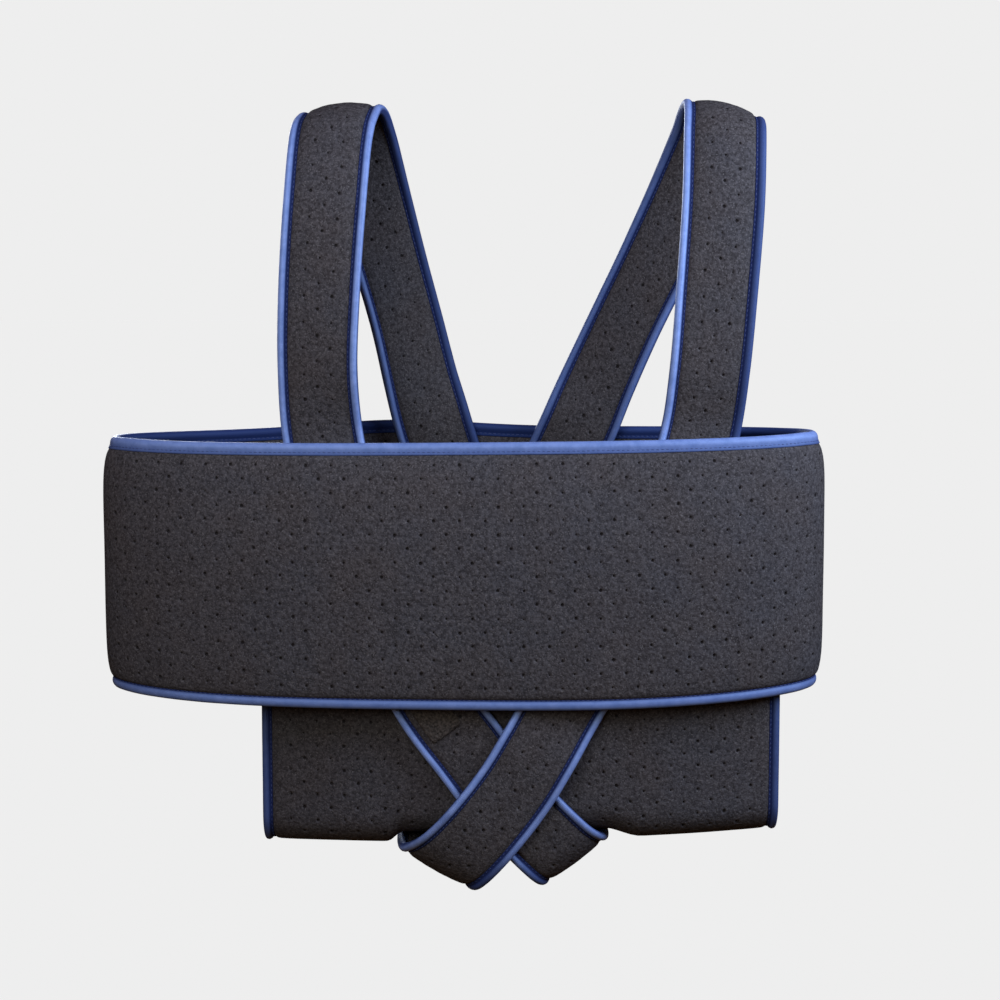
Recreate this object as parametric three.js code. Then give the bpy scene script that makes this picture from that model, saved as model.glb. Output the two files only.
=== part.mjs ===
// Shoulder immobilizer vest in its worn form: a wide chest band, two crossing shoulder straps that carry a
// forearm sling, and the tape that binds every cut edge. Millimetres, +Z up, front towards -Y, X to the
// right. The origin lies midway between the two places where the straps rest on the shoulders.
import * as THREE from "three";

// Fabric and tape
const BAND_WALL = 4;
const STRAP_WALL = 3.6;
const SLING_WALL = 3.6;
const TAPE_WALL = 0.7;
const TAPE_GAP = 0.3;
const TAPE_REACH = 6.4;
const TAPE_BEAD = 1.5;

// Chest band: a flattened ring whose wall bulges between its two bound edges. Its bottom edge rises towards
// the ends, its top edge rises at the back where the left strap pulls it, and the top of its front leans back.
const BAND_MIDDLE = -32;
const BAND_HALF_WIDTH = 236.5;
const BAND_HALF_DEPTH = 60;
const BAND_ROUNDNESS = 2.4;
const BAND_TOP = -210;
const BAND_BOTTOM = -378.5;
const BAND_ROLL = 0.0075;
const BAND_BULGE_FRONT = 2;
const BAND_BULGE_END = { top: 7, bottom: 5 };
const BAND_BULGE_POWER = 8;
const BAND_END_RISE = { left: 6.3, right: 4 };
const BAND_BACK_RISE = { height: 5.5, middle: -80, spread: 50 };
const BAND_LEAN = { depth: 12, drop: 2.2, start: -0.4 };
const BAND_SAG = { depth: 3.1, middle: 75, spread: 150 };
const BAND_TOP_LIFT = { height: 1, onset: 3 };
const BAND_STATIONS = 50;
const BAND_HEIGHT_SHARES = [-1, -0.84, 0, 0.5, 0.84, 1];

// Shoulder straps: a row for each place along the middle line, from the sewn end at the back, over the
// shoulder and down behind the front of the band to the crossing. lean is the tilt of the strap's width in
// the front view and turn is its turn about its own length, both in degrees. crown is how far its middle
// stands out of its edges.
const STRAP_WIDTH = 49.6;
const STRAP_STEPS = 2;
const LEFT_STRAP = [
  { place: "sewn end", across: -40, depth: 54.2, height: -254, lean: 14.5, turn: 0, crown: 0 },
  { place: "back seam", across: -46, depth: 53, height: -232, lean: 14.5, turn: 0, crown: 0 },
  { place: "back of band", across: -53.8, depth: 49.6, height: -206, lean: 14.5, turn: 2, crown: 0 },
  { place: "low back", across: -61.6, depth: 50.5, height: -178, lean: 14.5, turn: 18, crown: 0 },
  { place: "mid back", across: -71.6, depth: 48.5, height: -136, lean: 15, turn: 25, crown: 0 },
  { place: "high back", across: -82.6, depth: 44, height: -95, lean: 15.5, turn: 23, crown: 0.5 },
  { place: "shoulder blade", across: -94.4, depth: 35, height: -50, lean: 14.5, turn: 14, crown: 2 },
  { place: "behind shoulder", across: -103, depth: 22.5, height: -17, lean: 11, turn: 3, crown: 4.5 },
  { place: "shoulder slope", across: -107, depth: 11.5, height: -4.9, lean: 8, turn: 1, crown: 6 },
  { place: "shoulder", across: -110.5, depth: 0, height: -1.2, lean: 6, turn: 0, crown: 6.3 },
  { place: "collar slope", across: -113.5, depth: -11.5, height: -4.9, lean: 4, turn: 0, crown: 6.3 },
  { place: "before shoulder", across: -116, depth: -23, height: -15, lean: 0.5, turn: 0, crown: 5 },
  { place: "high front", across: -119.5, depth: -38, height: -58, lean: -1.5, turn: 0, crown: 2.5 },
  { place: "mid front", across: -123.3, depth: -42.5, height: -115, lean: -2, turn: 5, crown: 1 },
  { place: "low front", across: -124.8, depth: -42, height: -165, lean: 0, turn: 11, crown: 0 },
  { place: "front of band", across: -122.2, depth: -36, height: -207, lean: 6, turn: 4, crown: 0 },
  { place: "behind band top", across: -113.2, depth: -42, height: -245, lean: 15, turn: 4, crown: 0 },
  { place: "behind band middle", across: -96, depth: -47.5, height: -290, lean: 22, turn: 3, crown: 0 },
  { place: "behind band low", across: -74, depth: -50.5, height: -335, lean: 27, turn: 2, crown: 0 },
  { place: "below band", across: -49.2, depth: -48, height: -382, lean: 31, turn: 0, crown: 0 },
  { place: "crossing", across: -28, depth: -47.6, height: -411, lean: 37, turn: 0, crown: 0 },
  { place: "past crossing", across: -4.5, depth: -47.6, height: -442, lean: 41, turn: 0, crown: 0 },
];
const RIGHT_STRAP = [
  { place: "sewn end", across: 25, depth: 52.8, height: -254, lean: -24, turn: -2, crown: 0 },
  { place: "back seam", across: 34.5, depth: 51.4, height: -232, lean: -24, turn: -2.5, crown: 0 },
  { place: "back of band", across: 46, depth: 47.3, height: -206, lean: -24, turn: -4, crown: 0 },
  { place: "low back", across: 58, depth: 49.3, height: -178, lean: -24, turn: -18, crown: 0 },
  { place: "mid back", across: 77, depth: 48, height: -136, lean: -24, turn: -25, crown: 0 },
  { place: "high back", across: 96.5, depth: 43.5, height: -95, lean: -24, turn: -23, crown: 0.5 },
  { place: "shoulder blade", across: 117, depth: 35, height: -50, lean: -22, turn: -14, crown: 2 },
  { place: "behind shoulder", across: 130.5, depth: 22.5, height: -17, lean: -17, turn: -3, crown: 4 },
  { place: "shoulder slope", across: 134, depth: 11.5, height: -4.6, lean: -16.5, turn: -1, crown: 5 },
  { place: "shoulder", across: 136.5, depth: 0, height: 0.2, lean: -13.5, turn: 0, crown: 5.2 },
  { place: "collar slope", across: 136.8, depth: -11.5, height: -4, lean: -10.5, turn: 0, crown: 5.2 },
  { place: "before shoulder", across: 136, depth: -22, height: -15, lean: -5, turn: 0, crown: 4.2 },
  { place: "high front", across: 134, depth: -36, height: -58, lean: -2, turn: 0, crown: 2.2 },
  { place: "mid front", across: 130, depth: -40.5, height: -115, lean: -3, turn: -4, crown: 1 },
  { place: "low front", across: 126.3, depth: -38, height: -165, lean: -6, turn: -8, crown: 0 },
  { place: "front of band", across: 121.5, depth: -30, height: -205, lean: -10, turn: -9, crown: 0 },
  { place: "behind band top", across: 109.5, depth: -36, height: -245, lean: -19, turn: -9, crown: 0 },
  { place: "behind band middle", across: 87, depth: -44, height: -290, lean: -27, turn: -6, crown: 0 },
  { place: "behind band low", across: 61, depth: -48.6, height: -335, lean: -30, turn: -4, crown: 0 },
  { place: "below band", across: 33.5, depth: -47.9, height: -380.5, lean: -32, turn: -3, crown: 0 },
  { place: "crossing", across: 16.5, depth: -53.8, height: -410, lean: -33.5, turn: 0, crown: 0 },
  { place: "past crossing", across: 0, depth: -54.8, height: -437, lean: -36.5, turn: 0, crown: 0 },
];

// Each strap turns under the sling round a tilted line and runs up behind it. swing is how far the strap
// leans more before the fold than along it, and crown is how far its middle sags there.
const FOLD_STEPS = 4;
const LEFT_FOLD = { across: 41, height: -487.3, front: -47.6, back: 1, tilt: 36, swing: 8, crown: 2.5 };
const RIGHT_FOLD = { across: -50, height: -490.5, front: -54.8, back: 4.4, tilt: -28, swing: -14, crown: 4 };
const LEFT_RETURN = [
  { place: "behind sling", across: 25, depth: 1, height: -441, lean: 13, turn: 0, crown: 0 },
  { place: "free end", across: 22.5, depth: 1, height: -414, lean: 4, turn: 0, crown: 0 },
];
const RIGHT_RETURN = [
  { place: "behind sling", across: -38, depth: 3.6, height: -441, lean: -9, turn: 0, crown: 0 },
  { place: "free end", across: -36, depth: 2.8, height: -414, lean: -3, turn: 0, crown: 0 },
];

// Forearm sling: a trough that bows forwards in plan, lifted where the straps carry it
const SLING_MIDDLE = 5.5;
const SLING_HALF_WIDTH = 169.3;
const SLING_FRONT = -42.6;
const SLING_BACK = -6;
const SLING_BOW = 20;
const SLING_FRONT_TOP = -310;
const SLING_BACK_TOP = -335;
const SLING_BOTTOM = -474.5;
const SLING_ROLL = 0.022;
const SLING_LIFT = 6.8;
const SLING_LIFT_SPAN = { outerLeft: -84, left: -73, right: 60, outerRight: 86 };
const SLING_COLUMNS = 11;
const SLING_LEAF_STEPS = 4;
const SLING_TURN_STEPS = 10;

// Hook tab on the left strap, reaching from behind the band to just below it. The rows count along the strap.
const TAB_WALL = 1.2;
const TAB_HALF_WIDTH = 11.5;
const TAB_SEAT = 0.5;
const TAB_SHIFT = -4;
const TAB_FIRST_ROW = 18.55;
const TAB_LAST_ROW = 19.5;
const TAB_STEPS = 4;

const FABRIC = new THREE.MeshStandardMaterial({ color: 0x3c3a3d, roughness: 0.95, metalness: 0 });
const TAPE = new THREE.MeshStandardMaterial({ color: 0x2c4f9e, roughness: 0.4, metalness: 0 });
const HOOK = new THREE.MeshStandardMaterial({ color: 0x121214, roughness: 0.8, metalness: 0 });

const toRadians = THREE.MathUtils.degToRad;

// A closed body between two grids of points that match row for row. Rows run along the piece, and a ring
// joins its last row to its first. slants tells which way a column's faces are split, so that tape and fabric
// agree.
function bodyBetween(outer, inner, ring, slants) {
  const columns = outer[0].length;
  const rows = outer.length;
  const positions = [...outer.flat(), ...inner.flat()].flatMap((point) => point.toArray());
  const outerAt = (row, column) => (row % rows) * columns + column;
  const innerAt = (row, column) => outerAt(row, column) + rows * columns;
  const faces = [];
  const quad = (a, b, c, d, slanted) =>
    slanted ? faces.push(b, c, d, b, d, a) : faces.push(a, b, c, a, c, d);
  const spans = ring ? rows : rows - 1;
  for (let row = 0; row < spans; row++) {
    const after = row + 1;
    for (let column = 0; column < columns - 1; column++) {
      const next = column + 1;
      const slanted = slants(column, columns - 1);
      quad(outerAt(row, column), outerAt(after, column), outerAt(after, next), outerAt(row, next), slanted);
      quad(innerAt(row, column), innerAt(row, next), innerAt(after, next), innerAt(after, column), slanted);
    }
    const last = columns - 1;
    quad(outerAt(row, 0), innerAt(row, 0), innerAt(after, 0), outerAt(after, 0));
    quad(outerAt(row, last), outerAt(after, last), innerAt(after, last), innerAt(row, last));
  }
  if (!ring) {
    const end = rows - 1;
    for (let column = 0; column < columns - 1; column++) {
      quad(outerAt(0, column), outerAt(0, column + 1), innerAt(0, column + 1), innerAt(0, column));
      quad(outerAt(end, column), innerAt(end, column), innerAt(end, column + 1), outerAt(end, column + 1));
    }
  }
  const geometry = new THREE.BufferGeometry();
  geometry.setAttribute("position", new THREE.Float32BufferAttribute(positions, 3));
  geometry.setIndex(faces);
  geometry.computeVertexNormals();
  return geometry;
}

// A sheet: a grid of middle-surface points with the outward direction at each
function makeSheet(points, ring) {
  const rows = points.length;
  const lastColumn = points[0].length - 1;
  const clamped = (row) => THREE.MathUtils.clamp(row, 0, rows - 1);
  const rowAt = (row) => points[ring ? (row + rows) % rows : clamped(row)];
  const normals = points.map((row, index) =>
    row.map((point, column) => {
      const along = rowAt(index + 1)[column].clone().sub(rowAt(index - 1)[column]);
      const across = row[Math.min(column + 1, lastColumn)].clone().sub(row[Math.max(column - 1, 0)]);
      return along.cross(across).normalize();
    }),
  );
  return { points, normals, ring };
}

// The sheet's points moved along the outward direction
function offsetSheet(sheet, distance) {
  return sheet.points.map((row, index) =>
    row.map((point, column) => point.clone().addScaledVector(sheet.normals[index][column], distance)),
  );
}

const slantsLow = (column, columns) => column < columns / 2;
const slantsHigh = (column, columns) => column >= columns / 2;

function sheetBody(sheet, wall) {
  return bodyBetween(offsetSheet(sheet, wall / 2), offsetSheet(sheet, -wall / 2), sheet.ring, slantsLow);
}

// Tape folded over one long edge of a sheet: a channel with a rounded bead outside the edge
function tapeBody(sheet, wall, edge) {
  const edgeColumn = edge === "low" ? 0 : sheet.points[0].length - 1;
  const nextColumn = edge === "low" ? 1 : edgeColumn - 1;
  const inside = wall / 2 + TAPE_GAP;
  const outside = inside + TAPE_WALL;
  const outerProfile = [
    { out: -TAPE_REACH, up: outside },
    { out: 0, up: outside },
    { out: TAPE_BEAD, up: 0 },
    { out: 0, up: -outside },
    { out: -TAPE_REACH, up: -outside },
  ];
  const innerProfile = [
    { out: -TAPE_REACH, up: inside },
    { out: TAPE_GAP, up: inside },
    { out: TAPE_GAP, up: 0 },
    { out: TAPE_GAP, up: -inside },
    { out: -TAPE_REACH, up: -inside },
  ];
  const follow = (profile) =>
    sheet.points.map((row, index) => {
      const outward = row[edgeColumn].clone().sub(row[nextColumn]).normalize();
      const normal = sheet.normals[index][edgeColumn];
      return profile.map(({ out, up }) =>
        row[edgeColumn].clone().addScaledVector(outward, out).addScaledVector(normal, up),
      );
    });
  const channel = bodyBetween(follow(outerProfile), follow(innerProfile), sheet.ring, slantsHigh);
  return edge === "low" ? flipped(channel) : channel;
}

// The same body with its faces turned round, for a profile that was followed the other way
function flipped(geometry) {
  const index = geometry.getIndex();
  for (let face = 0; face < index.count; face += 3) {
    const second = index.getX(face + 1);
    index.setX(face + 1, index.getX(face + 2));
    index.setX(face + 2, second);
  }
  geometry.computeVertexNormals();
  return geometry;
}

// Chest band

function signedPower(value, power) {
  return Math.sign(value) * Math.abs(value) ** power;
}

// Rise of the band's edges at its ends and of its top at the back, less the sag of its lower front edge
function bandRise(angle, share, place) {
  const front = Math.max(-Math.sin(angle), 0);
  const ends = Math.abs(Math.cos(angle)) ** 3;
  const endRise = Math.cos(angle) < 0 ? BAND_END_RISE.left : BAND_END_RISE.right;
  const sagOffset = (place - BAND_SAG.middle) / BAND_SAG.spread;
  const bottom = endRise * ends - BAND_SAG.depth * Math.sqrt(front) * Math.exp(-(sagOffset ** 2));
  const backOffset = (place - BAND_BACK_RISE.middle) / BAND_BACK_RISE.spread;
  const back = BAND_BACK_RISE.height * Math.max(Math.sin(angle), 0) * Math.exp(-(backOffset ** 2) / 2);
  const top = back + BAND_TOP_LIFT.height * ends * Math.min(BAND_TOP_LIFT.onset * front, 1);
  return (bottom * (1 - share) + top * (1 + share)) / 2;
}

// Share of the front's full lean at an angle round the ring and a share of the band's half height
function bandLean(angle, share) {
  const climb = Math.max((share - BAND_LEAN.start) / (1 - BAND_LEAN.start), 0);
  return Math.max(-Math.sin(angle), 0) * climb ** 3;
}

// Middle of the band's wall at an angle round the ring and a share of its half height
function bandPoint(angle, share) {
  const cosine = Math.cos(angle);
  const endShare = Math.abs(cosine) ** 4;
  const endPull = share > 0 ? BAND_BULGE_END.top : BAND_BULGE_END.bottom;
  const pull = THREE.MathUtils.lerp(BAND_BULGE_FRONT, endPull, endShare);
  const bulge = pull * Math.abs(share) ** BAND_BULGE_POWER;
  const across = (BAND_HALF_WIDTH - bulge) * signedPower(cosine, 2 / BAND_ROUNDNESS);
  const depth = (BAND_HALF_DEPTH - bulge) * signedPower(Math.sin(angle), 2 / BAND_ROUNDNESS);
  const middle = (BAND_TOP + BAND_BOTTOM) / 2;
  const height = middle + (share * (BAND_TOP - BAND_BOTTOM)) / 2 + BAND_ROLL * across;
  const place = BAND_MIDDLE + across;
  const lean = bandLean(angle, share);
  const rise = bandRise(angle, share, place) - BAND_LEAN.drop * lean;
  return new THREE.Vector3(place, depth + BAND_LEAN.depth * lean, height + rise);
}

function bandSheet() {
  const points = [];
  for (let station = 0; station < BAND_STATIONS; station++) {
    const angle = (2 * Math.PI * station) / BAND_STATIONS;
    points.push(BAND_HEIGHT_SHARES.map((share) => bandPoint(angle, share)));
  }
  return makeSheet(points, true);
}

// Straps

// Rows for the turn under the sling: a coil on a cylinder whose axis lies along the tilted fold
function foldRows(fold) {
  const radius = (fold.back - fold.front) / 2;
  const tilt = toRadians(fold.tilt);
  const foldLine = new THREE.Vector3(Math.cos(tilt), 0, Math.sin(tilt));
  const foldUp = new THREE.Vector3(-Math.sin(tilt), 0, Math.cos(tilt));
  const drift = radius * Math.tan(toRadians(fold.swing));
  const rows = [];
  for (let step = 0; step <= FOLD_STEPS; step++) {
    const angle = Math.PI * (step / FOLD_STEPS - 0.5);
    const point = new THREE.Vector3(fold.across, (fold.front + fold.back) / 2, fold.height)
      .addScaledVector(foldUp, radius * (1 - Math.cos(angle)))
      .addScaledVector(foldLine, drift * angle);
    rows.push({
      place: "fold",
      across: point.x,
      depth: point.y + radius * Math.sin(angle),
      height: point.z,
      lean: fold.tilt - fold.swing * Math.sin(angle),
      turn: 0,
      crown: fold.crown * Math.cos(angle),
    });
  }
  return rows;
}

// A strap's sheet between two of its rows, with a column of points at each of the given offsets from its
// middle
function strapSheet(rows, columns, firstRow, lastRow, stations) {
  const places = rows.map((row) => new THREE.Vector3(row.across, row.depth, row.height));
  const angles = rows.map((row) => new THREE.Vector3(row.lean, row.turn, row.crown));
  const route = new THREE.CatmullRomCurve3(places, false, "centripetal");
  const poses = new THREE.CatmullRomCurve3(angles, false, "catmullrom");
  const points = [];
  for (let station = 0; station <= stations; station++) {
    const share = THREE.MathUtils.lerp(firstRow, lastRow, station / stations) / (rows.length - 1);
    const pose = poses.getPoint(share);
    const lean = toRadians(pose.x);
    const turn = toRadians(pose.y);
    const along = route.getTangent(share);
    const width = new THREE.Vector3(Math.cos(lean), 0, Math.sin(lean)).projectOnPlane(along).normalize();
    width.applyAxisAngle(along, turn);
    const outward = along.clone().cross(width);
    const middle = route.getPoint(share);
    points.push(
      columns.map((offset) => {
        const crown = pose.z * (1 - (offset / (STRAP_WIDTH / 2)) ** 2);
        return middle.clone().addScaledVector(width, offset).addScaledVector(outward, crown);
      }),
    );
  }
  return makeSheet(points, false);
}

function wholeStrap(rows) {
  const half = STRAP_WIDTH / 2;
  const columns = [-half, TAPE_REACH - half, 0, half - TAPE_REACH, half];
  const spans = rows.length - 1;
  return strapSheet(rows, columns, 0, spans, spans * STRAP_STEPS);
}

// The tab follows the strap under it, clear of its outer face
function tabBody(rows) {
  const columns = [-TAB_HALF_WIDTH, 0, TAB_HALF_WIDTH].map((offset) => offset + TAB_SHIFT);
  const sheet = strapSheet(rows, columns, TAB_FIRST_ROW, TAB_LAST_ROW, TAB_STEPS);
  const under = STRAP_WALL / 2 + TAB_SEAT;
  return bodyBetween(offsetSheet(sheet, under + TAB_WALL), offsetSheet(sheet, under), false, slantsLow);
}

// Sling

// Rise of the trough's bottom where the straps carry it
function slingLift(across) {
  const span = SLING_LIFT_SPAN;
  const rise = THREE.MathUtils.smoothstep(across, span.outerLeft, span.left);
  const fall = THREE.MathUtils.smoothstep(across, span.right, span.outerRight);
  return SLING_LIFT * (rise - fall);
}

// The trough's middle line at one place across: down the front leaf, round the bottom and up the back leaf
function slingSection(across) {
  const bow = SLING_BOW * ((across - SLING_MIDDLE) / SLING_HALF_WIDTH) ** 2;
  const radius = (SLING_BACK - SLING_FRONT) / 2;
  const roll = SLING_ROLL * (across - SLING_MIDDLE);
  const centre = SLING_BOTTOM + radius + roll + slingLift(across);
  const middle = (SLING_FRONT + SLING_BACK) / 2 + bow;
  const line = [];
  for (let step = 0; step < SLING_LEAF_STEPS; step++) {
    const height = THREE.MathUtils.lerp(SLING_FRONT_TOP, centre, step / SLING_LEAF_STEPS);
    line.push(new THREE.Vector3(across, middle - radius, height));
  }
  for (let step = 0; step <= SLING_TURN_STEPS; step++) {
    const angle = Math.PI * (step / SLING_TURN_STEPS);
    const depth = middle - radius * Math.cos(angle);
    line.push(new THREE.Vector3(across, depth, centre - radius * Math.sin(angle)));
  }
  for (let step = 1; step <= SLING_LEAF_STEPS; step++) {
    const height = THREE.MathUtils.lerp(centre, SLING_BACK_TOP, step / SLING_LEAF_STEPS);
    line.push(new THREE.Vector3(across, middle + radius, height));
  }
  return line;
}

function slingSheet() {
  const inner = SLING_HALF_WIDTH - TAPE_REACH;
  const offsets = [-SLING_HALF_WIDTH];
  for (let column = 0; column <= SLING_COLUMNS; column++) {
    offsets.push(THREE.MathUtils.lerp(-inner, inner, column / SLING_COLUMNS));
  }
  offsets.push(SLING_HALF_WIDTH);
  const sections = offsets.map((offset) => slingSection(SLING_MIDDLE + offset));
  const points = sections[0].map((_, row) => sections.map((section) => section[row]));
  return makeSheet(points, false);
}

// Assembly

const vest = new THREE.Group();

function addPiece(name, geometry, material) {
  const piece = new THREE.Mesh(geometry, material);
  piece.name = name;
  vest.add(piece);
}

const band = bandSheet();
addPiece("chest_band", sheetBody(band, BAND_WALL), FABRIC);
addPiece("chest_band_binding_top", tapeBody(band, BAND_WALL, "high"), TAPE);
addPiece("chest_band_binding_bottom", tapeBody(band, BAND_WALL, "low"), TAPE);

const leftRows = [...LEFT_STRAP, ...foldRows(LEFT_FOLD), ...LEFT_RETURN];
const rightRows = [...RIGHT_STRAP, ...foldRows(RIGHT_FOLD), ...RIGHT_RETURN];
const straps = [
  { side: "left", rows: leftRows, outer: "low", inner: "high" },
  { side: "right", rows: rightRows, outer: "high", inner: "low" },
];
for (const { side, rows, outer, inner } of straps) {
  const sheet = wholeStrap(rows);
  addPiece(`strap_${side}`, sheetBody(sheet, STRAP_WALL), FABRIC);
  addPiece(`strap_${side}_binding_outer`, tapeBody(sheet, STRAP_WALL, outer), TAPE);
  addPiece(`strap_${side}_binding_inner`, tapeBody(sheet, STRAP_WALL, inner), TAPE);
}
addPiece("strap_tab", tabBody(leftRows), HOOK);

const sling = slingSheet();
addPiece("forearm_sling", sheetBody(sling, SLING_WALL), FABRIC);
addPiece("sling_binding_left", tapeBody(sling, SLING_WALL, "low"), TAPE);
addPiece("sling_binding_right", tapeBody(sling, SLING_WALL, "high"), TAPE);

export default vest;
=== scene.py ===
"""Looks of the shoulder immobilizer vest: perforated fabric, satin binding tape, stitches and hook tape.

Tables and shape functions are in millimetres, in the part's own frame. Meshes are made in metres.

A strap's rows hold across, depth, height, lean, turn and crown of places along its middle line, from the
sewn end at the back, over the shoulder and down behind the band to the crossing.

A seam says how a tape is sewn on. Its outer and inner are half of the tape's outline, as reach beyond the
cut edge and height off the middle surface. Its third table is painted light and shade by reach: a low share
paints the tape navy as painted shade in the groove beside the bead, a high share paints the bead bright as
a painted highlight, and the share also sets the tape's gloss. Its leg is the reach up to which the tape is
sewn flat, its pinch is the padding's thickness by distance from the edge as a share of the wall, and its
stitch is the reach and height of the thread.
"""
import math

import bpy
import numpy as np
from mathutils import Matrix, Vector


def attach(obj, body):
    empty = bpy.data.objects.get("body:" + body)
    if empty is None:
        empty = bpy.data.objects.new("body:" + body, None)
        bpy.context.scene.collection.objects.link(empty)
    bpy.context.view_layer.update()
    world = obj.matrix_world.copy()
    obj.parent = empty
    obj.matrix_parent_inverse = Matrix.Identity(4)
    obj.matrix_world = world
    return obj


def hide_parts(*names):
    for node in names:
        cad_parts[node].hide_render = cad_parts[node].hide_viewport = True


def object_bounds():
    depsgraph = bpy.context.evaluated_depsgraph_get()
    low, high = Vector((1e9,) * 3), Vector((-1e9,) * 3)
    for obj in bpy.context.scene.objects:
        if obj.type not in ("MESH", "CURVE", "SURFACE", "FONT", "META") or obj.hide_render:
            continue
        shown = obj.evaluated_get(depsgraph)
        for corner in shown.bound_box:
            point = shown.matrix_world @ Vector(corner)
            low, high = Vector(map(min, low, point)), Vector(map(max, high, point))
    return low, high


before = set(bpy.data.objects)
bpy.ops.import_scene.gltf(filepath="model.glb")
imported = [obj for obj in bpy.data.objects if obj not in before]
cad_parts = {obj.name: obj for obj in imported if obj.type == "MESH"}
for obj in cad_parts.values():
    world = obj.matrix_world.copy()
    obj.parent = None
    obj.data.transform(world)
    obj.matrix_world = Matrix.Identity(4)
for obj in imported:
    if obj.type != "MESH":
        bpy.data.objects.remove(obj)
cad_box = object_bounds()

METRES = 0.001

# Thickness of the fabric
BAND_WALL = 4.0
STRAP_WALL = 3.6
SLING_WALL = 3.6

# Chest band: a flattened ring whose wall bulges between its two bound edges
BAND_MIDDLE = -32.0
BAND_HALF_WIDTH = 236.5
BAND_HALF_DEPTH = 60.0
BAND_ROUNDNESS = 2.4
BAND_TOP = -210.0
BAND_BOTTOM = -378.5
BAND_ROLL = 0.0075
BAND_BULGE_FRONT = 2.0
BAND_BULGE_END = dict(top=7.0, bottom=5.0, power=4)
BAND_BULGE_POWER = 8
BAND_END_RISE = dict(left=6.3, right=4.0, power=3)
BAND_BACK_RISE = dict(height=5.5, middle=-80.0, spread=50.0)
BAND_LEAN = dict(depth=12.0, drop=2.2, start=-0.4, power=3)
BAND_SAG = dict(depth=3.1, middle=75.0, spread=150.0)
BAND_TOP_LIFT = dict(height=1.0, onset=3.0)
BAND_SAMPLES = 6000

# Straps: rows down to the crossing, then the fold under the sling and the return up its back wall
STRAP_WIDTH = 49.6
STRAP_SAMPLES = 5000
LEFT_STRAP = [
    (-40, 54.2, -254, 14.5, 0, 0),
    (-46, 53, -232, 14.5, 0, 0),
    (-53.8, 49.6, -206, 14.5, 2, 0),
    (-61.6, 50.5, -178, 14.5, 18, 0),
    (-71.6, 48.5, -136, 15, 25, 0),
    (-82.6, 44, -95, 15.5, 23, 0.5),
    (-94.4, 35, -50, 14.5, 14, 2),
    (-103, 22.5, -17, 11, 3, 4.5),
    (-107, 11.5, -4.9, 8, 1, 6),
    (-110.5, 0, -1.2, 6, 0, 6.3),
    (-113.5, -11.5, -4.9, 4, 0, 6.3),
    (-116, -23, -15, 0.5, 0, 5),
    (-119.5, -38, -58, -1.5, 0, 2.5),
    (-123.3, -42.5, -115, -2, 5, 1),
    (-124.8, -42, -165, 0, 11, 0),
    (-122.2, -36, -207, 6, 4, 0),
    (-113.2, -42, -245, 15, 4, 0),
    (-96, -47.5, -290, 22, 3, 0),
    (-74, -50.5, -335, 27, 2, 0),
    (-49.2, -48, -382, 31, 0, 0),
    (-28, -47.6, -411, 37, 0, 0),
    (-4.5, -47.6, -442, 41, 0, 0),
]
RIGHT_STRAP = [
    (25, 52.8, -254, -24, -2, 0),
    (34.5, 51.4, -232, -24, -2.5, 0),
    (46, 47.3, -206, -24, -4, 0),
    (58, 49.3, -178, -24, -18, 0),
    (77, 48, -136, -24, -25, 0),
    (96.5, 43.5, -95, -24, -23, 0.5),
    (117, 35, -50, -22, -14, 2),
    (130.5, 22.5, -17, -17, -3, 4),
    (134, 11.5, -4.6, -16.5, -1, 5),
    (136.5, 0, 0.2, -13.5, 0, 5.2),
    (136.8, -11.5, -4, -10.5, 0, 5.2),
    (136, -22, -15, -5, 0, 4.2),
    (134, -36, -58, -2, 0, 2.2),
    (130, -40.5, -115, -3, -4, 1),
    (126.3, -38, -165, -6, -8, 0),
    (121.5, -30, -205, -10, -9, 0),
    (109.5, -36, -245, -19, -9, 0),
    (87, -44, -290, -27, -6, 0),
    (61, -48.6, -335, -30, -4, 0),
    (33.5, -47.9, -380.5, -32, -3, 0),
    (16.5, -53.8, -410, -33.5, 0, 0),
    (0, -54.8, -437, -36.5, 0, 0),
]
FOLD_STEPS = 4
LEFT_FOLD = dict(across=41, height=-487.3, front=-47.6, back=1, tilt=36, swing=8, crown=2.5)
RIGHT_FOLD = dict(across=-50, height=-490.5, front=-54.8, back=4.4, tilt=-28, swing=-14, crown=4)
LEFT_RETURN = [(25, 1, -441, 13, 0, 0), (22.5, 1, -414, 4, 0, 0)]
RIGHT_RETURN = [(-38, 3.6, -441, -9, 0, 0), (-36, 2.8, -414, -3, 0, 0)]

# Forearm sling: a trough that bows forwards in plan, lifted where the straps carry it
SLING_MIDDLE = 5.5
SLING_HALF_WIDTH = 169.3
SLING_FRONT = -42.6
SLING_BACK = -6.0
SLING_BOW = 20.0
SLING_FRONT_TOP = -310.0
SLING_BACK_TOP = -335.0
SLING_BOTTOM = -474.5
SLING_ROLL = 0.022
SLING_LIFT = 6.8
SLING_LIFT_SPAN = (-84.0, -73.0, 60.0, 86.0)

# Hook tab on the left strap, between two of its rows
TAB_ROWS = (18.55, 19.5)
TAB_HALF_WIDTH = 11.5
TAB_SHIFT = -4.0
TAB_UNDER = 2.3
TAB_WALL = 1.2
TAB_CELL = 1.0
TAB_CORNER = 3.0
TAB_EDGE_SHARE = 0.55
TAB_TAPER = (-0.1, 1.6)

# Perforations: a staggered lattice of blind holes with dimpled rims
PITCH = 16.3
ROW_GAP = 8.9
CELLS_PER_PITCH = 4
RIM_RADIUS = 1.75
HOLE_RADIUS = 1.05
FLOOR_RADIUS = 0.7
RIM_DIP = 0.03
MOUTH_DIP = 0.5
HOLE_DEPTH = 1.25
HOLE_SIDES = 8
HOLE_SIZES = (0.42, 1.1)
HOLE_STRAY = 0.3
HOLE_SEED = 11
HOLE_ROW_INSET = 11.0
HOLE_END_CELLS = 3
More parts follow.
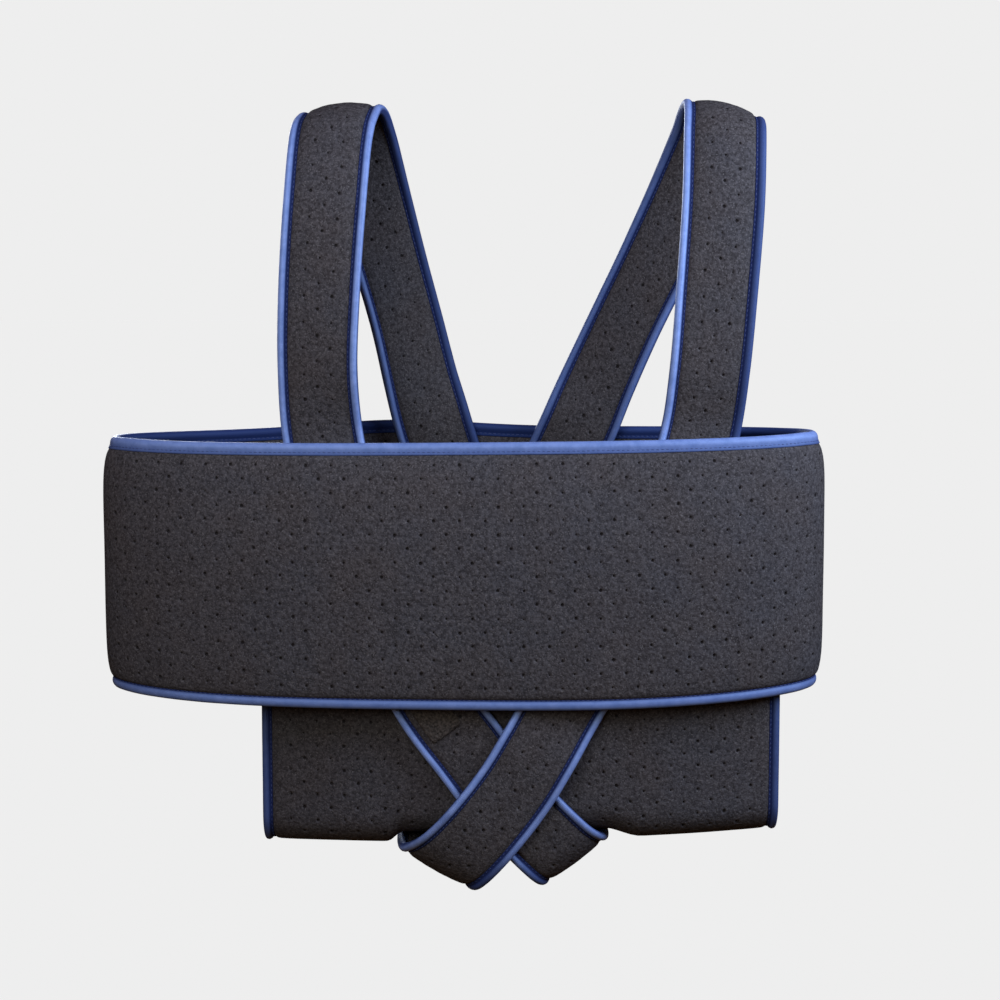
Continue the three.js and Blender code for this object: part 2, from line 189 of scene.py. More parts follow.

# Seams: rolled on the straps and the sling, flat on the band's top edge and a hem on its bottom edge
# The third table of each seam paints light and shade across the tape; it also sets the tape's gloss.
ROLLED = dict(
    outer=[(-5.3, 0.85), (-5.1, 1.05), (-4.5, 0.9), (-3.9, 0.95), (-3.3, 1.7), (-2.7, 2.4), (-1.8, 2.95),
           (-0.8, 3.1), (0.2, 2.85), (0.9, 2.2), (1.35, 1.2), (1.5, 0.0)],
    inner=[(-5.3, 0.6), (-5.1, 0.55), (-4.5, 0.5), (-3.8, 0.55), (-3.0, 1.1), (-2.4, 1.8), (-1.6, 2.3),
           (-0.8, 2.45), (0.0, 2.2), (0.5, 1.6), (0.8, 0.8), (0.85, 0.0)],
    painted_light_and_gloss=[(-3.3, 0.0), (-2.6, 0.8), (-1.8, 1.0), (1.0, 1.0), (1.5, 0.2)],
    leg=-3.3,
    pinch=[(0, 0.35), (2, 0.85), (4.5, 0.22), (5.3, 0.28), (6.2, 0.72), (7.2, 0.93), (9, 1.06), (13, 1.13),
           (18, 1.15)],
    stitch=(-4.5, 0.92),
)
FLAT = dict(
    outer=[(-6.9, 1.85), (-6.7, 2.15), (-5.6, 2.05), (-5.0, 1.95), (-4.2, 2.15), (-3.3, 2.55), (-2.3, 2.9),
           (-1.2, 3.05), (-0.1, 2.8), (0.8, 2.15), (1.3, 1.2), (1.5, 0.0)],
    inner=[(-6.9, 1.6), (-6.7, 1.55), (-5.6, 1.5), (-5.0, 1.4), (-4.1, 1.55), (-3.1, 1.95), (-2.1, 2.25),
           (-1.2, 2.4), (-0.3, 2.15), (0.4, 1.55), (0.75, 0.8), (0.85, 0.0)],
    painted_light_and_gloss=[(-6.9, 0.28), (-5.0, 0.4), (-2.3, 1.0), (1.0, 1.0), (1.5, 0.2)],
    leg=-6.9,
    pinch=[(0, 0.35), (2, 0.85), (5, 0.66), (6.9, 0.76), (8.5, 0.95), (11, 1.08), (13, 1.13), (18, 1.15)],
    stitch=(-5.0, 2.0),
)
HEM = dict(
    outer=[(-5.3, 0.95), (-5.1, 1.2), (-4.7, 1.2), (-4.2, 1.7), (-3.5, 2.4), (-2.6, 2.85), (-1.6, 3.1),
           (-0.6, 3.05), (0.3, 2.7), (0.95, 2.05), (1.35, 1.15), (1.5, 0.0)],
    inner=[(-5.3, 0.7), (-5.1, 0.65), (-4.7, 0.65), (-4.1, 1.1), (-3.3, 1.75), (-2.4, 2.2), (-1.5, 2.45),
           (-0.7, 2.4), (0.0, 2.1), (0.5, 1.55), (0.8, 0.8), (0.85, 0.0)],
    painted_light_and_gloss=[(-4.7, 0.0), (-4.2, 0.7), (-3.5, 1.0), (1.0, 1.0), (1.5, 0.2)],
    leg=-4.7,
    pinch=ROLLED["pinch"],
    stitch=(-4.9, 1.15),
)

# Painted light and gloss of the tapes outside and inside, and of a strap's tapes low on their run and at
# the fold
# A low value paints a tape navy as painted shade where it lies in shade, a high value paints it bright
# where lit.
TAPE_PAINTED_LIGHT_AND_GLOSS = dict(
    chest_band_binding_top=(0.68, 0.0),
    chest_band_binding_bottom=(0.5, 0.0),
    strap_left_binding_outer=(0.85, 0.42),
    strap_left_binding_inner=(0.85, 0.08),
    strap_right_binding_outer=(0.1, 0.36),
    strap_right_binding_inner=(1.0, 0.3),
    sling_binding_left=(0.17, 0.0),
    sling_binding_right=(0.15, 0.0),
)
LOW_PAINTED_LIGHT_AND_GLOSS = dict(
    strap_left_binding_outer=(0.95, 0.2),
    strap_left_binding_inner=(0.8, 0.75),
    strap_right_binding_outer=(0.75, 0.1),
    strap_right_binding_inner=(0.95, 0.8),
)
LOW_ROWS = (16.0, 18.0, 21.4, 22.6)

# Padding, tape and stitches
EDGE_LINES = (0.0, 2.0, 4.5, 5.3, 6.2, 7.2, 9.0)
EDGE_LINE_GAP = 0.6
END_SHARE = 0.45
END_TAPER = (-0.1, 3.0)
SWELL = dict(height=0.18, onset=0.6, along=(23.0, 41.0), across=(31.0, -17.0), phase=1.3)
NORMAL_STEP = 0.4
TAPE_STEP = 2.5
TAPE_RIPPLE = dict(height=0.035, short=5.1, long=13.7)
STITCH_PITCH = 3.2
STITCH_LENGTH = 2.3
STITCH_RADIUS = 0.24
STITCH_SIDES = 5
STITCH_BELLY = 0.32
STITCH_STEP = 0.5
TINY = 1e-6

# Materials: a grain is scale, detail and roughness, a span is values to remap, a bump is strength and depth
GRAIN_ROUGHNESS = 0.6
FABRIC = dict(
    clumps=(430, 2, 0.5),
    tufts=(620, 1, 0.5),
    fibres=(1100, 1, 0.5),
    cloud=(22, 3, GRAIN_ROUGHNESS),
    clump_span=(0.3, 0.7),
    cloud_span=(0.35, 0.65),
    deep_span=(0.3, 0.52, 0.5, 0.0),
    speck_span=(0.58, 0.72, 0.0, 0.5),
    cool=((0.026, 0.0255, 0.030), (0.064, 0.063, 0.072)),
    warm=((0.028, 0.0245, 0.026), (0.065, 0.060, 0.064)),
    deep=(0.012, 0.011, 0.012),
    speck=(0.14, 0.135, 0.14),
    roughness=0.96,
    specular=0.15,
    clump_bump=(0.5, 0.0012),
    tuft_bump=(0.5, 0.0006),
)
TAPE = dict(
    ribs={"Scale": 420, "Distortion": 1.2, "Detail": 1.0},
    drift=(160, 4, GRAIN_ROUGHNESS),
    bead_span=(0.35, 0.65),
    rib_span=(0.0, 1.0, 0.0, 0.25),
    gloss_span=(0.3, 0.7, 0.33, 0.45),
    matt=0.7,
    # The bead colours are the tape's royal blue lifted by a painted highlight; the last, darkest blue is
    # painted shade.
    bead=((0.165, 0.255, 0.55), (0.235, 0.338, 0.68)),
    groove=(0.05, 0.09, 0.30),
    painted_shade_navy=(0.010, 0.021, 0.102),
    specular=0.5,
    tint=(0.48, 0.72, 1.0, 1.0),
    crease_bump=(0.25, 0.0006),
    rib_bump=(0.25, 0.0002),
)
HOLE = dict(
    grain=(1800, 2, GRAIN_ROUGHNESS),
    span=(0.0, 1.0),
    colours=((0.010, 0.009, 0.010), (0.026, 0.024, 0.026)),
    roughness=1.0,
    specular=0.05,
    bump=None,
)
# Painted shade: the tape's legs sewn flat in the groove beside the bead are coloured dark navy for the
# shade there.
LEG_PAINTED_SHADE = dict(
    grain=(900, 2, GRAIN_ROUGHNESS),
    span=(0.0, 1.0),
    colours=((0.006, 0.011, 0.05), (0.014, 0.026, 0.105)),
    roughness=0.9,
    specular=0.12,
    bump=(0.4, 0.0003),
)
THREAD = dict(
    grain=(2600, 2, GRAIN_ROUGHNESS),
    span=(0.0, 1.0),
    colours=((0.012, 0.022, 0.085), (0.035, 0.065, 0.21)),
    roughness=0.55,
    specular=0.5,
    bump=(0.4, 0.0002),
)
HOOK = dict(
    grain=(620, 2, GRAIN_ROUGHNESS),
    span=(0.3, 0.7),
    colours=((0.010, 0.009, 0.0085), (0.072, 0.062, 0.057)),
    roughness=0.85,
    specular=0.25,
    bump=(0.8, 0.001),
)

# Studio
PALE = 0.855
FILL = (0.09, 0.045, 0.02)
SKY_STRENGTH = 3.0
SKY_ANGLE = 60.0
LIGHT_AIM = (0.0, -0.05, -0.2)
LIGHT_SIZE = 0.5
KEY = dict(place=(-0.30, -0.60, 0.40), power=2.8, colour=(0.91, 0.95, 1.26))
FRONT = dict(place=(-0.30, -0.90, 0.05), power=3.5, colour=(1.0, 1.0, 0.93))
SIDE = dict(place=(0.60, -0.30, 0.10), power=6.2, colour=(0.88, 1.0, 1.23))
REAR = dict(place=(-0.45, 1.05, 0.05), power=9.0, colour=(0.95, 1.0, 1.1))
FLOOR_DROP = 0.4
FLOOR_SIZE = 60.0
CAMERA_PLACE = (-0.0082, -1.372, -0.0987)
CAMERA_PITCH = 6.4
CAMERA_LENS = 74.88
CAMERA_SENSOR = 36.0
CAMERA_CLIP = (0.05, 200.0)


# Shape functions

def catmull_rom(points, places, centripetal):
    """Points of a Catmull-Rom curve through the points, at places counted in points from the first."""
    points = np.asarray(points, float)
    line = np.vstack([2 * points[0] - points[1], points, 2 * points[-1] - points[-2]])
    start = np.clip(np.floor(places).astype(int), 0, len(points) - 2)
    weight = (places - start)[:, None]
    before, here, there, after = (line[start + step] for step in range(4))
    if centripetal:
        gaps = [np.sqrt(np.linalg.norm(b - a, axis=1))[:, None] for a, b in
                ((before, here), (here, there), (there, after))]
        first, second, third = gaps
        leave = (here - before) / first - (there - before) / (first + second) + (there - here) / second
        arrive = (there - here) / second - (after - here) / (second + third) + (after - there) / third
        leave = leave * second
        arrive = arrive * second
    else:
        leave = (there - before) / 2
        arrive = (after - here) / 2
    square = -3 * here + 3 * there - 2 * leave - arrive
    cube = 2 * here - 2 * there + leave + arrive
    return here + weight * (leave + weight * (square + weight * cube))


def unit(vectors):
    return vectors / np.linalg.norm(vectors, axis=-1, keepdims=True)


def smooth_step(values, low, high):
    share = np.clip((values - low) / (high - low), 0, 1)
    return share * share * (3 - 2 * share)


def running_length(points):
    return np.concatenate([[0], np.cumsum(np.linalg.norm(np.diff(points, axis=0), axis=1))])


class Sheet:
    """The middle surface of a fabric piece. place gives points by distance along and across it."""

    def __init__(self, place, length, half_width, wall, ring=False, seams=(ROLLED, ROLLED)):
        self.place = place
        self.seams = dict(zip((1, -1), seams))
        self.length = length
        self.half_width = half_width
        self.wall = wall
        self.ring = ring
        self.low_run = None
        self.tab_run = None

    def normal(self, along, across):
        forward = self.place(along + NORMAL_STEP, across) - self.place(along - NORMAL_STEP, across)
        sideways = self.place(along, across + NORMAL_STEP) - self.place(along, across - NORMAL_STEP)
        return unit(np.cross(forward, sideways))

    def low_shares(self, along):
        """Shares of the low run's and the fold's painted light and gloss along a strap, none on the other
        sheets.
        """
        if self.low_run is None:
            return np.zeros((2, len(along)))
        start, full, last, end = self.low_run
        fold = smooth_step(along, last, end)
        return np.stack([smooth_step(along, start, full) - fold, fold])

    def lifted(self, along, across, height):
        along, across, height = np.broadcast_arrays(along, across, height)
        along = along.astype(float)
        across = across.astype(float)
        return self.place(along, across) + self.normal(along, across) * height[..., None]


def signed_power(values, power):
    return np.sign(values) * np.abs(values) ** power


def band_rise(angle, share, position):
    """Rise of the band's edges at its ends and of its back, less the sag of its lower front edge."""
    front = np.clip(-np.sin(angle), 0, None)
    ends = np.abs(np.cos(angle)) ** BAND_END_RISE["power"]
    end_rise = np.where(np.cos(angle) < 0, BAND_END_RISE["left"], BAND_END_RISE["right"])
    sag_offset = (position - BAND_SAG["middle"]) / BAND_SAG["spread"]
    bottom = end_rise * ends - BAND_SAG["depth"] * np.sqrt(front) * np.exp(-(sag_offset ** 2))
    back_offset = (position - BAND_BACK_RISE["middle"]) / BAND_BACK_RISE["spread"]
    back = BAND_BACK_RISE["height"] * np.clip(np.sin(angle), 0, None) * np.exp(-(back_offset ** 2) / 2)
    top = back + BAND_TOP_LIFT["height"] * ends * np.minimum(BAND_TOP_LIFT["onset"] * front, 1)
    return (bottom * (1 - share) + top * (1 + share)) / 2


def band_lean(angle, share):
    """Share of the lean that takes the top of the band's front back."""
    climb = np.clip((share - BAND_LEAN["start"]) / (1 - BAND_LEAN["start"]), 0, None)
    return np.clip(-np.sin(angle), 0, None) * climb ** BAND_LEAN["power"]


def band_point(angle, share):
    end_share = np.abs(np.cos(angle)) ** BAND_BULGE_END["power"]
    end_pull = np.where(share > 0, BAND_BULGE_END["top"], BAND_BULGE_END["bottom"])
    pull = BAND_BULGE_FRONT + (end_pull - BAND_BULGE_FRONT) * end_share
    bulge = pull * np.abs(share) ** BAND_BULGE_POWER
    across = (BAND_HALF_WIDTH - bulge) * signed_power(np.cos(angle), 2 / BAND_ROUNDNESS)
    depth = (BAND_HALF_DEPTH - bulge) * signed_power(np.sin(angle), 2 / BAND_ROUNDNESS)
    middle = (BAND_TOP + BAND_BOTTOM) / 2
    height = middle + share * (BAND_TOP - BAND_BOTTOM) / 2 + BAND_ROLL * across
    position = BAND_MIDDLE + across
    lean = band_lean(angle, share)
    depth = depth + BAND_LEAN["depth"] * lean
    height = height + band_rise(angle, share, position) - BAND_LEAN["drop"] * lean
    return np.stack([position, depth, height], axis=-1)


def band_sheet():
    angles = np.linspace(0, 2 * math.pi, BAND_SAMPLES)
    runs = running_length(band_point(angles, np.zeros_like(angles)))
    half = (BAND_TOP - BAND_BOTTOM) / 2

    def place(along, across):
        angle = np.interp(np.mod(along, runs[-1]), runs, angles)
        return band_point(angle, across / half)

    return Sheet(place, runs[-1], half, BAND_WALL, ring=True, seams=(FLAT, HEM))


def fold_rows(fold):
    """Rows for a strap's turn under the sling: a coil on a cylinder along the tilted fold."""
    radius = (fold["back"] - fold["front"]) / 2
    tilt = math.radians(fold["tilt"])
    drift = radius * math.tan(math.radians(fold["swing"]))
    rows = []
    for step in range(FOLD_STEPS + 1):
        angle = math.pi * (step / FOLD_STEPS - 0.5)
        rise = radius * (1 - math.cos(angle))
        slide = drift * angle
        across = fold["across"] - math.sin(tilt) * rise + math.cos(tilt) * slide
        height = fold["height"] + math.cos(tilt) * rise + math.sin(tilt) * slide
        depth = (fold["front"] + fold["back"]) / 2 + radius * math.sin(angle)
        lean = fold["tilt"] - fold["swing"] * math.sin(angle)
        rows.append((across, depth, height, lean, 0, fold["crown"] * math.cos(angle)))
    return rows


def strap_sheet(rows):
    rows = np.array(rows, float)
    places = np.linspace(0, len(rows) - 1, STRAP_SAMPLES)
    middle = catmull_rom(rows[:, :3], places, True)
    pose = catmull_rom(rows[:, 3:], places, False)
    crown = pose[:, 2]
    lean = np.radians(pose[:, 0])
    turn = np.radians(pose[:, 1:2])
    forward = unit(np.gradient(middle, axis=0))
    level = np.stack([np.cos(lean), np.zeros(len(lean)), np.sin(lean)], axis=-1)
    width = unit(level - forward * np.sum(level * forward, axis=1, keepdims=True))
    width = width * np.cos(turn) + np.cross(forward, width) * np.sin(turn)
    outward = np.cross(forward, width)
    runs = running_length(middle)
    half = STRAP_WIDTH / 2

    def at(table, along):
        return np.stack([np.interp(along, runs, table[:, axis]) for axis in range(3)], axis=-1)

    def place(along, across):
        rise = np.interp(along, runs, crown) * (1 - (across / half) ** 2)
        flat = at(middle, along) + at(width, along) * across[..., None]
        return flat + at(outward, along) * rise[..., None]

    sheet = Sheet(place, runs[-1], half, STRAP_WALL)
    sheet.low_run = np.interp(LOW_ROWS, places, runs)
    sheet.tab_run = np.interp(TAB_ROWS, places, runs)
    return sheet


def sling_sheet():
    radius = (SLING_BACK - SLING_FRONT) / 2
    centre_height = SLING_BOTTOM + radius
    front_leaf = SLING_FRONT_TOP - centre_height
    turn = math.pi * radius
    back_leaf = SLING_BACK_TOP - centre_height
    outer_left, left, right, outer_right = SLING_LIFT_SPAN

    def place(along, across):
        position = SLING_MIDDLE + across
        lift = smooth_step(position, outer_left, left) - smooth_step(position, right, outer_right)
        centre = centre_height + SLING_ROLL * across + SLING_LIFT * lift
        middle = (SLING_FRONT + SLING_BACK) / 2 + SLING_BOW * (across / SLING_HALF_WIDTH) ** 2
        angle = np.clip((along - front_leaf) / radius, 0, math.pi)
        down = np.clip(1 - along / front_leaf, 0, None)
        up = np.clip((along - front_leaf - turn) / back_leaf, 0, None)
        height = centre - radius * np.sin(angle)
        height = height + down * (SLING_FRONT_TOP - centre) + up * (SLING_BACK_TOP - centre)
        return np.stack([position, middle - radius * np.cos(angle), height], axis=-1)

    return Sheet(place, front_leaf + turn + back_leaf, SLING_HALF_WIDTH, SLING_WALL)


# Mesh making

def mesh_object(name, points, faces, materials, shades=None, runs=None):
    """A smooth mesh object in metres. shades has a material number per face, runs a UV pair per corner."""
    mesh = bpy.data.meshes.new(name)
    mesh.from_pydata(np.asarray(points) * METRES, [], faces)
    for material in materials:
        mesh.materials.append(material)
    if shades is not None:
        mesh.polygons.foreach_set("material_index", np.asarray(shades, dtype=np.int32))
    if runs is not None:
        layer = mesh.uv_layers.new(name="run")
        layer.data.foreach_set("uv", np.asarray(runs, dtype=np.float32).ravel())
    mesh.polygons.foreach_set("use_smooth", np.ones(len(mesh.polygons), dtype=bool))
    mesh.update()
    piece = bpy.data.objects.new(name, mesh)
    bpy.context.scene.collection.objects.link(piece)
    return piece


def half_thickness(sheet, along, across):
    """Half the padding's thickness: pinched under the tape, swollen beside it and thinned at a cut end."""
    inset = sheet.half_width - np.abs(across)
    low, high = (np.interp(inset, *np.transpose(sheet.seams[edge]["pinch"])) for edge in (-1, 1))
    share = np.where(across > 0, high, low)
    swell = SWELL["height"] * np.sin(along / SWELL["along"][0] + across / SWELL["across"][0])
    swell = swell * np.sin(along / SWELL["along"][1] + across / SWELL["across"][1] + SWELL["phase"])
    thickness = share * sheet.wall / 2 + swell * np.clip(share - SWELL["onset"], 0, 1)
    if not sheet.ring:
        end = np.minimum(along, sheet.length - along)
        thickness = thickness * (END_SHARE + (1 - END_SHARE) * smooth_step(end, *END_TAPER))
    return thickness


def hole_row_centres(half_width):
    count = int((half_width - HOLE_ROW_INSET) // ROW_GAP)
    return np.arange(-count, count + 1) * ROW_GAP


def panel_lines(sheet):
    """Grid lines along and across a panel, and the cells across that hold a row of holes."""
    count = CELLS_PER_PITCH * round(sheet.length / PITCH)
    along = np.linspace(0, sheet.length, count + 1)
    centres = hole_row_centres(sheet.half_width)
    lines = [centre + side * ROW_GAP / 4 for centre in centres for side in (-1, 1)]
    reach = lines[-1] + EDGE_LINE_GAP
    edges = [sheet.half_width - inset for inset in EDGE_LINES if sheet.half_width - inset > reach]
    across = np.array(sorted([-edge for edge in edges] + lines + edges))
    return along, across, [len(edges) + 2 * row for row in range(len(centres))]


def panel_face(sheet, side, first_index, random):
    """Points, faces and material numbers of one pierced face of a panel. side is 1 outside, -1 inside."""
    along, across, hole_columns = panel_lines(sheet)
    rows = len(along) - 1 if sheet.ring else len(along)
    cells = len(along) - 1
    columns = len(across)
    grid_along, grid_across = np.meshgrid(along[:rows], across, indexing="ij")
    grid = sheet.lifted(grid_along, grid_across, side * half_thickness(sheet, grid_along, grid_across))
    faces = []
    shades = []
    holes = []
    lattice_row = {column: number for number, column in enumerate(hole_columns)}
    margin = 0 if sheet.ring else HOLE_END_CELLS

    def at(row, column):
        return first_index + (row % rows) * columns + column

    for row in range(cells):
        for column in range(columns - 1):
            corners = (at(row, column), at(row + 1, column), at(row + 1, column + 1), at(row, column + 1))
            shift = lattice_row.get(column, 0) % 2 * CELLS_PER_PITCH // 2
            pierced = column in lattice_row and (row + shift) % CELLS_PER_PITCH == 0
            if pierced and margin <= row < cells - margin:
                holes.append((row, column, corners))
            else:
                faces.append(corners if side > 0 else corners[::-1])
                shades.append(0)
    ring_points, ring_faces, ring_shades = hole_rings(sheet, side, along, across, holes, random,
                                                      first_index + rows * columns)
    points = np.vstack([grid.reshape(-1, 3), ring_points])
    return points, faces + ring_faces, shades + ring_shades, rows, columns


def hole_rings(sheet, side, along, across, holes, random, first_index):
    """Rims, mouths and floors of the holes in one face of a panel."""
    count = len(holes)
    row = np.array([hole[0] for hole in holes])
    column = np.array([hole[1] for hole in holes])
    stray_along = random.uniform(-HOLE_STRAY, HOLE_STRAY, count)
    stray_across = random.uniform(-HOLE_STRAY, HOLE_STRAY, count)
    centre_along = (along[row] + along[row + 1]) / 2 + stray_along
    centre_across = (across[column] + across[column + 1]) / 2 + stray_across
    size = random.uniform(*HOLE_SIZES, count)
    angle = np.arange(HOLE_SIDES) * 2 * math.pi / HOLE_SIDES
    rings = []
    for radius, dip, varies in ((RIM_RADIUS, RIM_DIP, False), (HOLE_RADIUS, MOUTH_DIP, True),
                                (FLOOR_RADIUS, HOLE_DEPTH, True)):
        reach = radius * (size if varies else np.ones(count))
        ring_along = centre_along[:, None] + reach[:, None] * np.cos(angle)
        ring_across = centre_across[:, None] + reach[:, None] * np.sin(angle)
        height = half_thickness(sheet, ring_along, ring_across) - dip
        rings.append(sheet.lifted(ring_along, ring_across, side * height))
    points = np.stack(rings, axis=1).reshape(-1, 3)
    faces = []
    shades = []
    for number, (_, _, corners) in enumerate(holes):
        base = first_index + number * 3 * HOLE_SIDES
        rim = [base + step for step in range(HOLE_SIDES)]
        mouth = [base + HOLE_SIDES + step for step in range(HOLE_SIDES)]
        floor = [base + 2 * HOLE_SIDES + step for step in range(HOLE_SIDES)]
        quarter = [corners[2], corners[3], corners[0], corners[1]]
        made = []
        for corner in range(4):
            here = quarter[corner]
            there = quarter[(corner + 1) % 4]
            middle = rim[(2 * corner + 2) % HOLE_SIDES]
            made.append((here, there, middle))
            made.append((here, middle, rim[2 * corner + 1]))
            made.append((there, rim[(2 * corner + 3) % HOLE_SIDES], middle))
        dark = []
        for step in range(HOLE_SIDES):
            after = (step + 1) % HOLE_SIDES
            made.append((rim[step], rim[after], mouth[after], mouth[step]))
            dark.append((mouth[step], mouth[after], floor[after], floor[step]))
        dark.append(tuple(floor))
        faces.extend(face if side > 0 else face[::-1] for face in made + dark)
        shades.extend([0] * len(made) + [1] * len(dark))
    return points, faces, shades


def perforated_panel(name, sheet, fabric, shade):
    """A padded panel with both of its faces pierced, closed along its edges."""
    random = np.random.default_rng(HOLE_SEED)
    outer, faces, shades, rows, columns = panel_face(sheet, 1, 0, random)
    offset = len(outer)
    inner, inner_faces, inner_shades, _, _ = panel_face(sheet, -1, offset, random)
    faces += inner_faces
    shades += inner_shades
    last = columns - 1
    walls = []

    def wall(start, end):
        here, there = ((row % rows) * columns + column for row, column in (start, end))
        walls.append((here, there, offset + there, offset + here))

    for row in range(rows if sheet.ring else rows - 1):
        wall((row + 1, 0), (row, 0))
        wall((row, last), (row + 1, last))
    if not sheet.ring:
        end = rows - 1
        for column in range(last):
            wall((0, column), (0, column + 1))
            wall((end, column + 1), (end, column))
    faces += walls
    shades += [0] * len(walls)
    return mesh_object(name, np.vstack([outer, inner]), faces, [fabric, shade], shades)


def tape_stations(sheet):
    count = round(sheet.length / TAPE_STEP)
    along = np.linspace(0, sheet.length, count + 1)
    return along[:-1] if sheet.ring else along


def painted_light_and_gloss_shares(seam, outer, hidden, gloss, low, fold):
    """Painted light and gloss per station of a tape and point of its outline, none in the channel."""
    half = len(outer) // 2
    shown = np.interp(outer[:, 0], *np.transpose(seam["painted_light_and_gloss"]))
    outside = gloss["outside"] * (1 - low - fold) + gloss["low"] * low + gloss["fold"] * fold
    inside = np.full(len(low), gloss["inside"])
    shares = np.hstack([np.outer(outside, shown[:half]), np.outer(inside, shown[half:])])
    return np.pad(shares, ((0, 0), (0, hidden + 1)))


def binding(name, sheet, edge, gloss, materials):
    """Tape folded over one long edge of a sheet. edge is 1 for the high edge, -1 for the low one.

    gloss holds its painted light and gloss outside, inside, low on a strap and at its fold, and materials
    one for the bead and one for the legs sewn flat, whose dark colour is painted shade.
    """
    along = tape_stations(sheet)
    seam = sheet.seams[edge]
    outer, inner = (np.array(half + [(reach, -up) for reach, up in half[-2::-1]])
                    for half in (seam["outer"], seam["inner"]))
    profile = np.vstack([outer, inner[::-1]])
    # Painted light share per station and point: navy painted shade where low, painted highlight where high.
    painted_light_and_gloss = painted_light_and_gloss_shares(seam, outer, len(inner), gloss, *sheet.low_shares(along))
    sewn = profile[:, 0] <= seam["leg"]
    flat = sewn & np.roll(sewn, -1)
    ripple = np.sin(along / TAPE_RIPPLE["short"] + edge) * np.sin(along / TAPE_RIPPLE["long"] + 2 * edge)
    ripple = 1 + TAPE_RIPPLE["height"] * ripple
    across = edge * (sheet.half_width + profile[None, :, 0] * np.ones((len(along), 1)))
    points = sheet.lifted(along[:, None], across, ripple[:, None] * profile[None, :, 1])
    stations, around = points.shape[:2]
    runs_along = np.append(along, sheet.length)
    faces = []
    runs = []
    shades = []
    for station in range(stations if sheet.ring else stations - 1):
        after = (station + 1) % stations
        low = runs_along[station] * METRES
        high = runs_along[station + 1] * METRES
        for step in range(around):
            beside = (step + 1) % around
            face = [station * around + step, after * around + step, after * around + beside,
                    station * around + beside]
            beyond = step + 1
            corners = [(low, painted_light_and_gloss[station, step]), (high, painted_light_and_gloss[after, step]),
                       (high, painted_light_and_gloss[after, beyond]), (low, painted_light_and_gloss[station, beyond])]
            faces.append(face if edge > 0 else face[::-1])
            runs.extend(corners if edge > 0 else corners[::-1])
            # Faces of the legs sewn flat take the painted-shade material.
            shades.append(int(flat[step]))
    if not sheet.ring:
        width = len(outer)
        for station, outward in ((0, 1), (stations - 1, -1)):
            base = station * around
            for step in range(width - 1):
                face = [base + step, base + step + 1, base + around - 2 - step, base + around - 1 - step]
                faces.append(face if outward * edge > 0 else face[::-1])
                runs.extend([(along[station] * METRES, painted_light_and_gloss[station, step])] * 4)
                shades.append(int(flat[step]))
    return mesh_object(name, points.reshape(-1, 3), faces, materials, shades, runs)


def stitches(name, sheet, edges, material):
    """Running stitches along the grooves of a sheet's tapes, on both of its faces, as one joined mesh."""
    count = int(sheet.length // STITCH_PITCH)
    along = (np.arange(count) + 0.5) * sheet.length / count
    angle = np.arange(STITCH_SIDES) * 2 * math.pi / STITCH_SIDES
    points = []
    for edge in edges:
        reach, height = sheet.seams[edge]["stitch"]
        across = np.full(count, edge * (sheet.half_width + reach))
        normal = sheet.normal(along, across)
        forward = unit(sheet.place(along + STITCH_STEP, across) - sheet.place(along - STITCH_STEP, across))
        sideways = np.cross(normal, forward)
        for side in (1, -1):
            centre = sheet.place(along, across) + normal * side * height
            pole = forward * STITCH_LENGTH / 2
            thread = [centre - pole - normal * side * STITCH_RADIUS]
            for place in (-STITCH_BELLY, STITCH_BELLY):
                for turn in angle:
                    spoke = sideways * math.cos(turn) + normal * math.sin(turn)
                    thread.append(centre + forward * place * STITCH_LENGTH + spoke * STITCH_RADIUS)
            thread.append(centre + pole - normal * side * STITCH_RADIUS)
            points.append(np.stack(thread, axis=1))
    points = np.concatenate(points)
    each = points.shape[1]
    template = []
    for step in range(STITCH_SIDES):
        after = (step + 1) % STITCH_SIDES
        first = 1 + step
        second = 1 + after
        template.append((0, second, first))
        template.append((first, second, second + STITCH_SIDES, first + STITCH_SIDES))
        template.append((first + STITCH_SIDES, second + STITCH_SIDES, each - 1))
    faces = []
    for number in range(len(points)):
        faces.extend(tuple(each * number + corner for corner in face) for face in template)
    return mesh_object(name, points.reshape(-1, 3), faces, [material])


